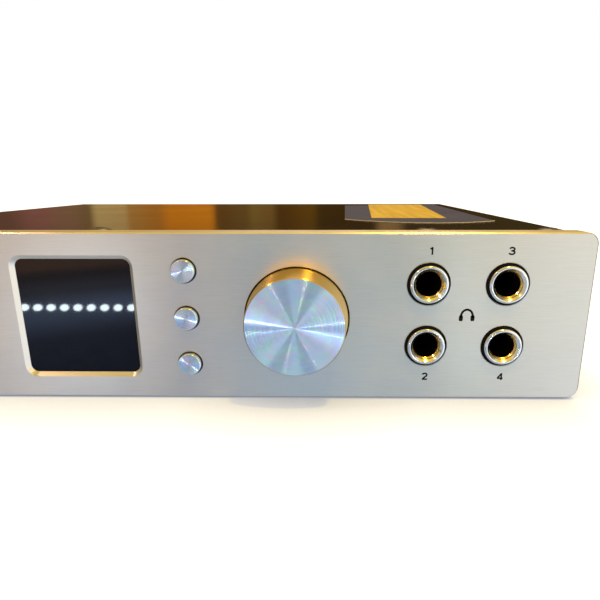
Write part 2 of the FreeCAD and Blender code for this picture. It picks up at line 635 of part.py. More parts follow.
def boards():
    """Main board and supply board on hexagonal standoffs."""
    standoffs = []
    screws = []
    screw = pan_screw(2.75, 1.8, 1.4, 5.0)
    for name, outline in (("main_board", MAIN_BOARD), ("supply_board", SUPPLY_BOARD)):
        corners = board_corners(outline, 4.0)
        holes = [rod_z(x, y, 1.6, BOARD_Z - 1, BOARD_TOP + 1) for x, y in corners]
        save(name, box(*outline, BOARD_Z, BOARD_TOP).cut(Part.makeCompound(holes)))
        for x, y in corners:
            pillar = hexagon_z(x, y, 5.5, TRAY_FLOOR, BOARD_Z)
            standoffs.append(pillar.cut(rod_z(x, y, 1.45, TRAY_FLOOR - 1, BOARD_Z + 1)))
            screws.append(placed(screw, V(x, y, BOARD_TOP), Z_AXIS))
    save("board_standoffs", *standoffs)
    save("board_screws", *screws)


def transformer():
    """Toroidal mains transformer between a rubber pad and a dished clamp, on one bolt."""
    x = TOROID_X
    y = TOROID_Y
    pad_top = TRAY_FLOOR + 1.5
    top = pad_top + 28.0
    core = rod_z(x, y, TOROID_R, pad_top, top)
    core = core.makeFillet(6.0, edges_in_plane(core, "z", top) + edges_in_plane(core, "z", pad_top))
    save("toroid_transformer", core.cut(rod_z(x, y, TOROID_HOLE_R, 0, 50)))
    save("transformer_pad", rod_z(x, y, TOROID_R - 5, TRAY_FLOOR, pad_top).cut(rod_z(x, y, 3.2, 0, 50)))
    clamp = rod_z(x, y, TOROID_R - 7, top, top + 1.5)
    clamp = clamp.fuse(rod_z(x, y, TOROID_HOLE_R - 1, top - 3, top)).cut(rod_z(x, y, 3.1, 0, 50))
    save("transformer_clamp", clamp)
    bolt = rod_z(x, y, 3.0, TRAY_FLOOR, top + 5.5)
    save("transformer_bolt", bolt.fuse(hexagon_z(x, y, 10.0, top + 1.5, top + 4.5)))


def supply_parts():
    """Reservoir capacitors, rectifier, fuse, and regulators on their heatsink."""
    cans = []
    for x in (-88.0, -71.5, -55.0):
        can = rod_z(x, 37.0, 7.4, BOARD_TOP, BOARD_TOP + 26.0)
        groove = rod_z(x, 37.0, 9.0, BOARD_TOP + 2.6, BOARD_TOP + 3.6).cut(rod_z(x, 37.0, 7.0, 0, 50))
        cans.append(can.cut(groove))
    save("reservoir_capacitors", *cans)
    base = box(-94.0, -58.4, 47.6, 50.0, BOARD_TOP, BOARD_TOP + 24.0)
    fins = [box(-94.0 + 4.2 * i, -92.0 + 4.2 * i, 50.0, 55.5, BOARD_TOP, BOARD_TOP + 24.0) for i in range(9)]
    save("regulator_heatsink", base.multiFuse(fins))
    regulators = []
    for x in (-88.0, -76.0, -64.0):
        chip = block_at(x, BOARD_TOP + 10.0, 10.0, 9.0, 44.5, 47.6)
        tab = block_at(x, BOARD_TOP + 17.0, 10.0, 6.0, 46.3, 47.6)
        legs = [block_at(x + dx, BOARD_TOP + 3.0, 0.8, 6.0, 45.4, 46.0) for dx in (-2.5, 0.0, 2.5)]
        regulators.append(chip.multiFuse([tab] + legs))
    rectifier = box(-57.0, -42.0, 46.0, 51.0, BOARD_TOP, BOARD_TOP + 15.0)
    save("power_semiconductors", rectifier, *regulators)
    holder = box(-67.0, -45.0, 25.0, 27.8, BOARD_TOP, BOARD_TOP + 1.0)
    clips = [box(x, x + 3.0, 23.3, 29.5, BOARD_TOP, BOARD_TOP + 4.8) for x in (-65.6, -49.4)]
    fuse_z = BOARD_TOP + 4.0
    bore = rod_x(26.4, fuse_z, 2.61, -68.0, -44.0)
    save("fuse_clips", holder.multiFuse(clips).cut(bore))
    save("mains_fuse", rod_x(26.4, fuse_z, 2.6, -66.0, -46.0))


def amplifier_parts():
    """Driver and control chips, muting relays and coupling capacitors of the main board."""
    chips = []
    relays = []
    films = []
    for i in range(4):
        x = -15.0 + 30.0 * i
        chips.append(box(x, x + 10.0, 62.0, 68.5, BOARD_TOP, BOARD_TOP + 3.6))
        chips.append(box(x, x + 10.0, 74.0, 80.5, BOARD_TOP, BOARD_TOP + 3.6))
        relays.append(box(x, x + 15.0, 46.0, 53.5, BOARD_TOP, BOARD_TOP + 10.0))
        films += [rod_z(x + 4.0 + 9.0 * k, 92.0, 4.0, BOARD_TOP, BOARD_TOP + 12.0) for k in range(2)]
    chips.append(box(30.0, 44.0, 106.0, 120.0, BOARD_TOP, BOARD_TOP + 1.4))
    save("board_chips", *chips)
    save("muting_relays", *relays)
    save("coupling_capacitors", *films)


def wiring():
    """Flat ribbon from the front board to the main board, and the mains and supply leads."""
    header = box(4.0, 30.0, FRONT_BOARD_Y + BOARD, 20.0, 12.0, 17.5)
    plug = box(-2.0, 24.0, 41.0, 45.0, BOARD_TOP, BOARD_TOP + 7.0)
    save("ribbon_headers", header, plug)
    run = box(4.8, 23.2, 20.0, 36.0, 14.2, 15.1)
    rise = box(4.8, 23.2, 35.1, 36.0, 14.2, 20.5)
    over = box(4.8, 23.2, 35.1, 43.4, 19.6, 20.5)
    drop = box(4.8, 23.2, 42.5, 43.4, BOARD_TOP + 7.0, 20.5)
    save("ribbon_cable", run.multiFuse([rise, over, drop]).removeSplitter())

    live_z = MID_Z - 1.9
    back = REAR_Y - 24.0
    leads = []
    for i, x in enumerate((INLET_X - 7.0, INLET_X + 7.0)):
        y = back - 4.0 * i
        leads.append(lead([V(x, REAR_Y - 23.5, live_z), V(x, y - 3, live_z), V(x + 6, y - 7, 8.0 + 4 * i),
                           V(-30.4, y - 7, 8.0 + 4 * i), V(-30.4, 60.0, 8.0 + 4 * i)], 1.1, 2.2))
    save("mains_leads", *leads)


os.makedirs("parts", exist_ok=True)
front_panel()
display()
buttons()
front_electronics()
volume_control()
headphone_jacks()
line_connections()
chassis_tray()
end_walls()
top_cover()
fasteners()
feet()
mains_inlet()
rocker_switch()
small_sockets()
boards()
transformer()
supply_parts()
amplifier_parts()
wiring()
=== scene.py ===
import json
import math

import bpy
import numpy as np
from mathutils import Matrix, Vector


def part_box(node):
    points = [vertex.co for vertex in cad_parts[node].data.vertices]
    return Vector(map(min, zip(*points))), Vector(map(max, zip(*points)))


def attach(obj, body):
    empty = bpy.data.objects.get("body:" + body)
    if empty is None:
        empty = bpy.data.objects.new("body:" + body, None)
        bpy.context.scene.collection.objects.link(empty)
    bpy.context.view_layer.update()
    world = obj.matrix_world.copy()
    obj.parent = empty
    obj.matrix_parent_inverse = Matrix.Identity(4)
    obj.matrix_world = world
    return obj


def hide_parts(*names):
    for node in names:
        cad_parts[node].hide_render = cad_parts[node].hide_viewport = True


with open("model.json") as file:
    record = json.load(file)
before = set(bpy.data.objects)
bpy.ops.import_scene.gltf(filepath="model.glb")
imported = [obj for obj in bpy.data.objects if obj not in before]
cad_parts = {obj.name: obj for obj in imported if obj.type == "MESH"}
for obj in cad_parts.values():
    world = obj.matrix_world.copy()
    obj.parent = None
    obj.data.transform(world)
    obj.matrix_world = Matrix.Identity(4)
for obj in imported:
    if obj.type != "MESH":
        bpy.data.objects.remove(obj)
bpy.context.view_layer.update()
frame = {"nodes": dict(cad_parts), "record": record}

# A half-rack headphone amplifier: finishes for every sheet, turning and moulding
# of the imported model, finely turned buttons and jack ferrules that stand for its
# own, and a spun end for the knob. Metres; +Y runs from the face to the rear.

MM = 0.001
CHASSIS = "chassis"
PANEL_LOW, PANEL_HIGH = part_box("front_panel")
FACE_Y = PANEL_LOW.y
COVER_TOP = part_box("top_cover")[1].z


# ---- camera ----
CAMERA_BACK = 114.3 * MM
CAMERA_RIGHT = 41.6 * MM
CAMERA_ABOVE_SILL = 56.15 * MM
CAMERA_PITCH = math.radians(14.35)
CAMERA_YAW = math.radians(0.80)
CAMERA_ROLL = math.radians(-0.08)
CAMERA_LENS = 27.82
CAMERA_SHIFT_X = -0.0401


def set_camera():
    """Places the camera in front of the face, turned by yaw and pitched down, with a slight roll."""
    forward = Vector((-math.sin(CAMERA_YAW) * math.cos(CAMERA_PITCH),
                      math.cos(CAMERA_YAW) * math.cos(CAMERA_PITCH), -math.sin(CAMERA_PITCH)))
    level = Vector((math.cos(CAMERA_YAW), math.sin(CAMERA_YAW), 0))
    upright = level.cross(forward)
    right = level * math.cos(CAMERA_ROLL) + upright * math.sin(CAMERA_ROLL)
    up = upright * math.cos(CAMERA_ROLL) - level * math.sin(CAMERA_ROLL)
    data = bpy.data.cameras.new("camera")
    data.lens = CAMERA_LENS
    data.sensor_width = 36
    data.shift_x = CAMERA_SHIFT_X
    data.clip_start = 0.005
    camera = bpy.data.objects.new("camera", data)
    bpy.context.scene.collection.objects.link(camera)
    turn = Matrix((right, up, -forward)).transposed().to_4x4()
    place = Vector((CAMERA_RIGHT, FACE_Y - CAMERA_BACK, PANEL_LOW.z + CAMERA_ABOVE_SILL))
    camera.matrix_world = Matrix.Translation(place) @ turn
    bpy.context.scene.camera = camera


# ---- node helpers ----
class Wiring:
    """A node tree under construction, with short calls for the nodes used often."""

    def __init__(self, tree):
        self.tree = tree

    def add(self, kind, **settings):
        """A new node with its properties set."""
        node = self.tree.nodes.new(kind)
        for key, value in settings.items():
            setattr(node, key, value)
        return node

    def link(self, output, node, socket):
        """Joins an output to a named or numbered input."""
        self.tree.links.new(output, node.inputs[socket])

    def stretched(self, scale, source=None):
        """Coordinates scaled by a different amount along each axis."""
        node = self.add("ShaderNodeMapping")
        node.inputs["Scale"].default_value = scale
        self.link(source or self.coordinates, node, "Vector")
        return node.outputs["Vector"]

    def noise(self, vector, detail=3.0, rough=0.55, distortion=0.0):
        """Fractal noise from 0 to 1 on a vector that already holds its scale."""
        node = self.add("ShaderNodeTexNoise")
        node.inputs["Scale"].default_value = 1.0
        node.inputs["Detail"].default_value = detail
        node.inputs["Roughness"].default_value = rough
        node.inputs["Distortion"].default_value = distortion
        self.link(vector, node, "Vector")
        return node.outputs["Fac"]

    def feed(self, node, socket, value):
        """Gives an input a number, a colour or another node's output."""
        if isinstance(value, (int, float)):
            node.inputs[socket].default_value = value
        elif isinstance(value, tuple):
            node.inputs[socket].default_value = (*value, 1)
        else:
            self.link(value, node, socket)

    def blend(self, factor, low, high, kind="MIX"):
        """Two colours mixed, or multiplied, by a factor; each may be an output."""
        node = self.add("ShaderNodeMix", data_type="RGBA", blend_type=kind, clamp_factor=True)
        for socket, value in ((0, factor), (6, low), (7, high)):
            self.feed(node, socket, value)
        return node.outputs[2]

    def span(self, factor, low, high, start=0.0, end=1.0, ease="LINEAR"):
        """A number that runs from low to high as the factor runs from start to end."""
        node = self.add("ShaderNodeMapRange", interpolation_type=ease)
        self.link(factor, node, "Value")
        node.inputs["From Min"].default_value = start
        node.inputs["From Max"].default_value = end
        node.inputs["To Min"].default_value = low
        node.inputs["To Max"].default_value = high
        return node.outputs["Result"]

    def joined(self, operation, first, second):
        """A math node over two numbers, either of which may be an output."""
        node = self.add("ShaderNodeMath", operation=operation)
        for socket, value in enumerate((first, second)):
            self.feed(node, socket, value)
        return node.outputs["Value"]


class Finish(Wiring):
    """A material under construction: a Principled surface on object coordinates."""

    def __init__(self, name, **sockets):
        self.material = bpy.data.materials.new(name)
        self.material.use_nodes = True
        super().__init__(self.material.node_tree)
        self.surface = self.tree.nodes["Principled BSDF"]
        for socket, value in sockets.items():
            self.surface.inputs[socket.replace("_", " ")].default_value = value
        self.coordinates = self.add("ShaderNodeTexCoord").outputs["Object"]

    def bump(self, height, distance, strength=1.0):
        """Small relief; distance is its depth in metres."""
        node = self.add("ShaderNodeBump")
        node.inputs["Strength"].default_value = strength
        node.inputs["Distance"].default_value = distance
        self.link(height, node, "Height")
        self.link(node.outputs["Normal"], self.surface, "Normal")

    def color(self, output):
        """The surface's base colour."""
        self.link(output, self.surface, "Base Color")

    def roughness(self, source, smooth, dull, start=0.3, end=0.7):
        """Roughness that runs from smooth to dull as a noise runs through its usual range."""
        self.link(self.span(source, smooth, dull, start, end), self.surface, "Roughness")


# ---- metals ----
RECESS_REACH = 14.0 * MM
RECESS_START = 0.1 * MM


def brushed_aluminium():
    """Fine grain along X over every face of the panel, softly clouded, and painted shade: black in the
    recess round the knob.
    """
    f = Finish("brushed_aluminium", Metallic=0.85, Anisotropic=0.75)
    grain = f.noise(f.stretched((130, 9000, 9000)), detail=4, rough=0.7)
    cloud = f.noise(f.stretched((70, 90, 90)), detail=3)
    mixed = f.joined("ADD", f.joined("MULTIPLY", grain, 0.7), f.joined("MULTIPLY", cloud, 0.3))
    bare = f.blend(f.span(mixed, 0, 1, 0.3, 0.7), (0.58, 0.575, 0.56), (0.70, 0.695, 0.68))
    # Painted shade: the panel's colour turns black inside the knob's recess, standing for its shadow.
    f.color(f.blend(recess_painted_shade(f), bare, (0.004, 0.004, 0.004)))
    f.roughness(cloud, 0.30, 0.37)
    f.bump(grain, 0.000005, 0.4)
    across = f.add("ShaderNodeVectorMath", operation="CROSS_PRODUCT")
    f.link(f.add("ShaderNodeNewGeometry").outputs["Normal"], across, 0)
    across.inputs[1].default_value = (1.0, 0.01, 0.02)
    f.link(across.outputs["Vector"], f.surface, "Tangent")
    return f.material


def recess_painted_shade(f):
    """1 in the recess round the knob, just below the panel's face, where the panel is painted black as
    shade, and 0 elsewhere.
    """
    x, z = middle("volume_knob")
    split = f.add("ShaderNodeSeparateXYZ")
    f.link(f.coordinates, split, 0)
    across = f.joined("SUBTRACT", split.outputs["X"], x)
    up = f.joined("SUBTRACT", split.outputs["Z"], z)
    away = f.joined("SQRT", f.joined("ADD", f.joined("MULTIPLY", across, across),
                                     f.joined("MULTIPLY", up, up)), 0)
    near = f.joined("LESS_THAN", away, RECESS_REACH)
    deep = f.joined("GREATER_THAN", split.outputs["Y"], FACE_Y + RECESS_START)
    return f.joined("MULTIPLY", near, deep)


def turned_aluminium():
    """Lathe-spun faces that follow a turning's own map: u round it, v outwards, with faint tints."""
    f = Finish("turned_aluminium", Metallic=1.0, Anisotropic=1.0, Anisotropic_Rotation=0.25)
    uv = f.add("ShaderNodeUVMap", uv_map="turned").outputs["UV"]
    marks = f.noise(f.stretched((1.2, 120, 1), source=uv), detail=3, rough=0.65)
    tint = f.noise(f.stretched((320, 320, 320)), detail=3)
    blush = f.noise(f.stretched((420, 700, 420)), detail=2)
    cool = f.blend(f.span(tint, 0, 1, 0.46, 0.58), (0.74, 0.81, 0.96), (0.74, 0.91, 0.89))
    f.color(f.blend(f.span(blush, 0, 1, 0.5, 0.68), cool, (0.88, 0.80, 0.92)))
    f.roughness(marks, 0.14, 0.18)
    tangent = f.add("ShaderNodeTangent", direction_type="UV_MAP", uv_map="turned")
    f.link(tangent.outputs["Tangent"], f.surface, "Tangent")
    return f.material


def polished_aluminium():
    """The knob's turned side wall, with marks that run round it; its gold tint is painted warm reflection of
    the lamps above.
    """
    f = Finish("polished_aluminium", Metallic=1.0, Anisotropic=1.0)
    marks = f.noise(f.stretched((30, 5000, 30)), detail=2)
    # Painted reflection: the gold base colour stands for the warm lamplight that the side mirrors.
    f.color(f.blend(marks, (0.54, 0.38, 0.13), (0.68, 0.50, 0.20)))
    f.roughness(marks, 0.27, 0.33)
    along = f.add("ShaderNodeCombineXYZ")
    along.inputs["Y"].default_value = 1.0
    f.link(along.outputs["Vector"], f.surface, "Tangent")
    return f.material


def plated(name, low, high, smooth, dull):
    """Plated or polished metal with faint smears in its gloss."""
    f = Finish(name, Metallic=1.0)
    smear = f.noise(f.stretched((900, 900, 900)), detail=3)
    f.color(f.blend(smear, low, high))
    f.roughness(smear, smooth, dull)
    return f.material


# ---- paints and plastics ----
def enamel(name, tint, smooth, dull, peel):
    """Baked enamel with orange peel and a faint bloom."""
    f = Finish(name, Specular_IOR_Level=0.5)
    wave = f.noise(f.stretched((700, 700, 700)), detail=2)
    bloom = f.noise(f.stretched((25, 25, 25)), detail=4)
    lighter = tuple(c * 1.5 for c in tint)
    f.color(f.blend(bloom, tint, lighter))
    f.roughness(bloom, smooth, dull)
    f.bump(wave, peel, 0.4)
    return f.material


def moulded(name, tint, smooth, dull, grain=0.00001, shine=0.3):
    """Moulded plastic with a fine spark-eroded grain."""
    f = Finish(name, Specular_IOR_Level=shine)
    fine = f.noise(f.stretched((6000, 6000, 6000)), detail=2)
    broad = f.noise(f.stretched((120, 120, 120)), detail=2)
    f.color(f.blend(broad, tint, tuple(c * 1.25 + 0.002 for c in tint)))
    f.roughness(broad, smooth, dull)
    f.bump(fine, grain, 0.5)
    return f.material


def display_lens():
    """Polished black lens with a trace of smears."""
    f = Finish("display_lens", IOR=1.45, Specular_IOR_Level=0.05, Coat_Weight=0.6, Coat_Roughness=0.03)
    smear = f.noise(f.stretched((150, 150, 260)), detail=4)
    f.color(f.blend(smear, (0.002, 0.002, 0.004), (0.004, 0.005, 0.009)))
    f.roughness(smear, 0.22, 0.34, 0.35, 0.75)
    return f.material


def print_ink():
    """Matt black printing ink, a little uneven in its cover."""
    f = Finish("print_ink", Roughness=0.6, Specular_IOR_Level=0.1)
    thin = f.noise(f.stretched((3000, 3000, 3000)), detail=2)
    f.color(f.blend(f.span(thin, 0, 1, 0.4, 0.8), (0.004, 0.004, 0.005), (0.015, 0.015, 0.017)))
    return f.material


def torn_film():
    """Satin blue-grey film with creases, pale and frayed along its front edge."""
    f = Finish("torn_film", Specular_IOR_Level=0.4)
    uv = f.add("ShaderNodeUVMap", uv_map="sheet").outputs["UV"]
    split = f.add("ShaderNodeSeparateXYZ")
    f.link(uv, split, 0)
    haze = f.noise(f.stretched((0.12, 0.05, 1), uv), detail=4)
    fray = f.noise(f.stretched((2.5, 0.8, 1), uv), detail=3)
    inward = f.joined("SUBTRACT", split.outputs["Y"], f.joined("MULTIPLY", fray, 1.6))
    body = f.blend(haze, (0.012, 0.022, 0.13), (0.028, 0.044, 0.19))
    f.color(f.blend(f.span(inward, 1, 0, -0.2, 0.9), body, (0.62, 0.58, 0.52)))
    f.roughness(haze, 0.38, 0.5)
    f.bump(haze, 0.00005, 0.4)
    return f.material


def gold_foil():
    """A blank satin foil label with faint streaks along it."""
    f = Finish("gold_foil", Metallic=0.35)
    uv = f.add("ShaderNodeUVMap", uv_map="sheet").outputs["UV"]
    streak = f.noise(f.stretched((0.5, 0.02, 1), uv), detail=3)
    f.color(f.blend(f.span(streak, 0, 1, 0.3, 0.7), (0.60, 0.44, 0.06), (0.74, 0.57, 0.11)))
    f.roughness(streak, 0.34, 0.44)
    return f.material


def solder_mask(name, tint):
    """Board lacquer with a faint criss-cross of traces beneath it."""
    f = Finish(name, Roughness=0.35)
    traces = f.noise(f.stretched((600, 600, 600)), detail=1)
    f.color(f.blend(f.span(traces, 0, 1, 0.48, 0.52), tint, tuple(c * 1.6 for c in tint)))
    return f.material


def wound_tape():
    """Overlapping turns of yellow polyester tape."""
    f = Finish("wound_tape", Roughness=0.3)
    turns = f.noise(f.stretched((500, 500, 60)), detail=2)
    f.color(f.blend(f.span(turns, 0, 1, 0.4, 0.6), (0.55, 0.42, 0.05), (0.72, 0.58, 0.10)))
    f.bump(turns, 0.0002, 0.5)
    return f.material


def clear_moulding():
    """Clear plastic or fuse glass."""
    f = Finish("clear_moulding", Transmission_Weight=0.8, IOR=1.49)
    haze = f.noise(f.stretched((400, 400, 400)), detail=2)
    f.color(f.blend(haze, (0.80, 0.83, 0.84), (0.90, 0.92, 0.92)))
    f.roughness(haze, 0.08, 0.2)
    return f.material


def ribbed_ribbon():
    """Grey flat cable with a rib for each core."""
    f = Finish("ribbed_ribbon", Roughness=0.5)
    ribs = f.add("ShaderNodeTexWave", bands_direction="X")
    ribs.inputs["Scale"].default_value = 1.0
    f.link(f.stretched((400, 1, 1)), ribs, "Vector")
    f.color(f.blend(ribs.outputs["Fac"], (0.30, 0.30, 0.31), (0.52, 0.52, 0.53)))
    f.bump(ribs.outputs["Fac"], 0.0002, 0.6)
    return f.material


def make_finishes():
    """One material for each slot of the record."""
    return {
        "anodised_panel": brushed_aluminium(),
        "turned_aluminium": turned_aluminium(),
        "display_glass": display_lens(),
        "bright_chrome": plated("bright_chrome", (0.62, 0.65, 0.68), (0.92, 0.92, 0.92), 0.08, 0.20),
        "black_plastic": moulded("black_plastic", (0.004, 0.004, 0.004), 0.35, 0.5, shine=0.12),
        "gloss_black_plastic": moulded("gloss_black_plastic", (0.010, 0.010, 0.011), 0.12, 0.2, 0.000003),
        "cover_paint": enamel("cover_enamel", (0.0015, 0.001, 0.0003), 0.10, 0.16, 0.000004),
        "tray_paint": enamel("tray_enamel", (0.014, 0.013, 0.012), 0.30, 0.42, 0.00002),
        "dark_steel": plated("dark_nickel", (0.10, 0.09, 0.08), (0.18, 0.16, 0.14), 0.15, 0.28),
        "plain_steel": plated("bright_zinc", (0.55, 0.55, 0.56), (0.70, 0.70, 0.71), 0.2, 0.35),
        "brass_post": plated("bright_brass", (0.70, 0.50, 0.20), (0.85, 0.66, 0.32), 0.15, 0.3),
        "foot_rubber": moulded("foot_rubber", (0.015, 0.015, 0.015), 0.7, 0.85, 0.00003),
        "board_green": solder_mask("green_mask", (0.01, 0.08, 0.03)),
        "board_black": solder_mask("black_mask", (0.010, 0.010, 0.012)),
        "clear_plastic": clear_moulding(),
        "winding_tape": wound_tape(),
        "capacitor_sleeve": moulded("capacitor_sleeve", (0.012, 0.016, 0.04), 0.25, 0.35),
        "black_anodised": plated("black_anodised", (0.02, 0.02, 0.02), (0.04, 0.04, 0.04), 0.35, 0.5),
        "white_plastic": moulded("white_plastic", (0.60, 0.59, 0.54), 0.4, 0.5),
        "grey_ribbon": ribbed_ribbon(),
        "lead_sleeve": moulded("lead_sleeve", (0.10, 0.03, 0.012), 0.35, 0.45),
        "knob_side": polished_aluminium(),
        # Painted reflection: the jack liners' gold tint stands for warm lamplight in the chrome mouths.
        "liner_painted_reflection": plated("liner_gold_painted_reflection", (0.70, 0.50, 0.16), (0.86, 0.66, 0.28), 0.16, 0.28),
        "print_ink": print_ink(),
        "cover_film": torn_film(),
        "foil_label": gold_foil(),
    }


def finish_cad_nodes(finishes):
    """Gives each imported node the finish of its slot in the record, and the knob its polished side."""
    for part in frame["record"]["subparts"]:
        node = frame["nodes"][part["node"]]
        name = "knob_side" if part["node"] == "volume_knob" else part["material_slot"]
        for slot in node.material_slots:
            slot.material = finishes[name]


# ---- surfaces ----
def read(items, attribute, kind=np.int32, width=1):
    """One attribute of all of a mesh's items, as an array."""
    values = np.empty(len(items) * width, kind)
    items.foreach_get(attribute, values)
    return values


def uv_map(mesh, name, u, v):
    """A UV map from one u and one v for each corner of the mesh."""
    layer = mesh.uv_layers.new(name=name)
    layer.data.foreach_set("uv", np.stack([u, v], -1).ravel().astype(np.float32))


def mesh_piece(name, points, faces, material, body, sharp=30, keen_edges=None):
    """A piece from arrays of points and faces, smooth except at edges sharper than sharp degrees.

    keen_edges, if given, says from the two point numbers of each edge which others stay sharp.
    """
    mesh = bpy.data.meshes.new(name)
    mesh.from_pydata(points.tolist(), [], [tuple(face) for face in faces])
    mesh.polygons.foreach_set("use_smooth", np.ones(len(mesh.polygons), bool))
    mesh.set_sharp_from_angle(angle=math.radians(sharp))
    if keen_edges is not None:
        ends = read(mesh.edges, "vertices", width=2)
        keen = read(mesh.edges, "use_edge_sharp", bool)
        keen |= keen_edges(ends[::2], ends[1::2])
        mesh.edges.foreach_set("use_edge_sharp", keen)
    mesh.materials.append(material)
    piece = bpy.data.objects.new(name, mesh)
    bpy.context.scene.collection.objects.link(piece)
    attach(piece, body)
    return piece


def turning(name, profile, centre, steps, material, body, grooved=None):
    """A solid of revolution about the Y axis through centre.

    profile lists (radius, y) from the front pole or ring to the back one.
    Point (i, j) is centre + radius_i * (cos a_j, 0, sin a_j) + (0, y_i, 0).
    A profile that starts or ends on the axis is closed by a fan about a pole,
    and one that doesn't is a closed ring. grooved is the pair of radii between
    which every ring of the front face is a keen edge, as a lathe tool leaves it.
    """
    profile = np.asarray(profile, float)
    poles = profile[:, 0] < 1e-9
    rings = profile[~poles]
    angles = np.linspace(0, 2 * math.pi, steps, endpoint=False)
    radius, depth = rings[:, :1], rings[:, 1:]
    grid = np.stack([centre[0] + radius * np.cos(angles), depth + 0 * angles,
                     centre[1] + radius * np.sin(angles)], -1)
    points = grid.reshape(-1, 3)
    across = np.arange(steps)
    after = (across + 1) % steps
    rows = np.arange(len(rings) - 1)[:, None] * steps
    quads = np.stack([rows + across, rows + after, rows + steps + after, rows + steps + across], -1)
    faces = quads.reshape(-1, 4).tolist()
    travelled = np.concatenate([[0], np.cumsum(np.hypot(*np.diff(rings, axis=0).T))])
    last = (len(rings) - 1) * steps
    if poles[0]:
        points = np.vstack([points, [[centre[0], profile[0, 1], centre[1]]]])
        faces += np.stack([np.full(steps, len(points) - 1), after, across], -1).tolist()
        travelled += rings[0, 0]
    if poles[-1]:
        points = np.vstack([points, [[centre[0], profile[-1, 1], centre[1]]]])
        faces += np.stack([last + across, last + after, np.full(steps, len(points) - 1)], -1).tolist()
    if not poles.any():
        faces += np.stack([last + across, last + after, after, across], -1).tolist()

    def ring_edges(first, second):
        """True for an edge that lies along one grooved ring."""
        ring = np.minimum(first, second) // steps
        inside = (first // steps == second // steps) & (ring < len(rings))
        ring = np.minimum(ring, len(rings) - 1)
        between = (rings[ring, 0] > grooved[0]) & (rings[ring, 0] < grooved[1])
        return inside & between & (rings[ring, 1] < rings[0, 1] + 0.1 * MM)

    piece = mesh_piece(name, points, faces, material, body,
                       keen_edges=ring_edges if grooved else None)
    turned_map(piece.data, centre, travelled, len(rings), steps)
    return piece


def turned_map(mesh, centre, travelled, ring_count, steps):
    """A UV map named turned: u is turns about the axis and v the distance along the profile, in cm.

    A pole's corner takes the middle u of its face's other corners.
    """
    corners = read(mesh.loops, "vertex_index")
    places = read(mesh.vertices, "co", float, 3).reshape(-1, 3)
    angle = np.arctan2(places[:, 2] - centre[1], places[:, 0] - centre[0]) / (2 * math.pi)
    along = np.zeros(len(places))
    along[:ring_count * steps] = np.repeat(travelled, steps)
    u = angle[corners]
    starts = read(mesh.polygons, "loop_start")
    face_of_corner = np.searchsorted(starts, np.arange(len(corners)), side="right") - 1
    on_pole = corners >= ring_count * steps
    highest = np.full(len(starts), -np.inf)
    np.maximum.at(highest, face_of_corner, np.where(on_pole, -np.inf, u))
    u = np.where(highest[face_of_corner] - u > 0.5, u + 1, u)
    total = np.bincount(face_of_corner, np.where(on_pole, 0, u))
    count = np.bincount(face_of_corner, ~on_pole)
    u = np.where(on_pole, (total / count)[face_of_corner], u)
    uv_map(mesh, "turned", u, along[corners] * 100)


def spun_face(start, radius, y, pitch, slope):
    """Points of a lathe-spun face from radius start to radius, as (radius, y).

    Ring i is pitch wide and leans by slope times g_i to the power 1.4, with g_i's
    sign, where g_i runs through -1 to 1 in golden-ratio order, so neighbouring rings
    never lean alike. The depth is the running sum of the leans, less its drift.
    """
    count = int((radius - start) / pitch)
    radii = start + (radius - start) * np.arange(count + 1) / count
    lean = 2 * np.mod(np.arange(count) * 0.618034, 1) - 1
    lean = slope * lean * np.abs(lean) ** 0.4
    rise = np.concatenate([[0], np.cumsum(lean * (radii[1] - radii[0]))])
    rise -= np.linspace(0, rise[-1], count + 1)
    return list(zip(radii, y + rise - rise.max()))


def arc(centre, radius, start, end, count):
    """Points of a circular arc in the profile plane, angles in degrees."""
    a = np.radians(np.linspace(start, end, count))
    return [(centre[0] + radius * math.cos(t), centre[1] + radius * math.sin(t)) for t in a]


def middle(node):
    """The (x, z) middle of a node's box: the axis of a turned piece."""
    low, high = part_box(node)
    return ((low.x + high.x) / 2, (low.z + high.z) / 2)


# ---- controls ----
RING_PITCH = 0.045 * MM
RING_SLOPE = 0.36
KNOB_STEPS, SMALL_STEPS = 180, 96
KNOB_FACE_INSET = 1.0 * MM
KNOB_FACE_PROUD, KNOB_FACE_LET_IN = 0.01 * MM, 0.1 * MM
BUTTON_RADIUS = 2.96 * MM
BUTTON_EDGE = 0.26 * MM
BUTTON_STEM = 1.5 * MM
FLANGE_BACK, FLANGE_THICK = 6.1 * MM, 0.9 * MM
FERRULE_THROAT = 3.6 * MM
FERRULE_SHOULDER = 0.48 * MM
FERRULE_LIP = 0.18 * MM
LINER_WALL = 0.04 * MM
LINER_FLARED, LINER_STRAIGHT = 3.56 * MM, 3.24 * MM


def knob_face(finishes):
    """The spun end of the volume knob: lathe rings on a thin disc let into the knob's front."""
    low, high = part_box("volume_knob")
    centre = middle("volume_knob")
    radius = (high.x - low.x) / 2 - KNOB_FACE_INSET
    front = low.y - KNOB_FACE_PROUD
    back = low.y + KNOB_FACE_LET_IN
    profile = [(0, front)] + spun_face(0.12 * MM, radius, front, RING_PITCH, RING_SLOPE)
    profile += [(radius + 0.02 * MM, back), (0, back)]
    turning("knob_spun_face", profile, centre, KNOB_STEPS, finishes["turned_aluminium"],
            "knob", grooved=(0, radius))


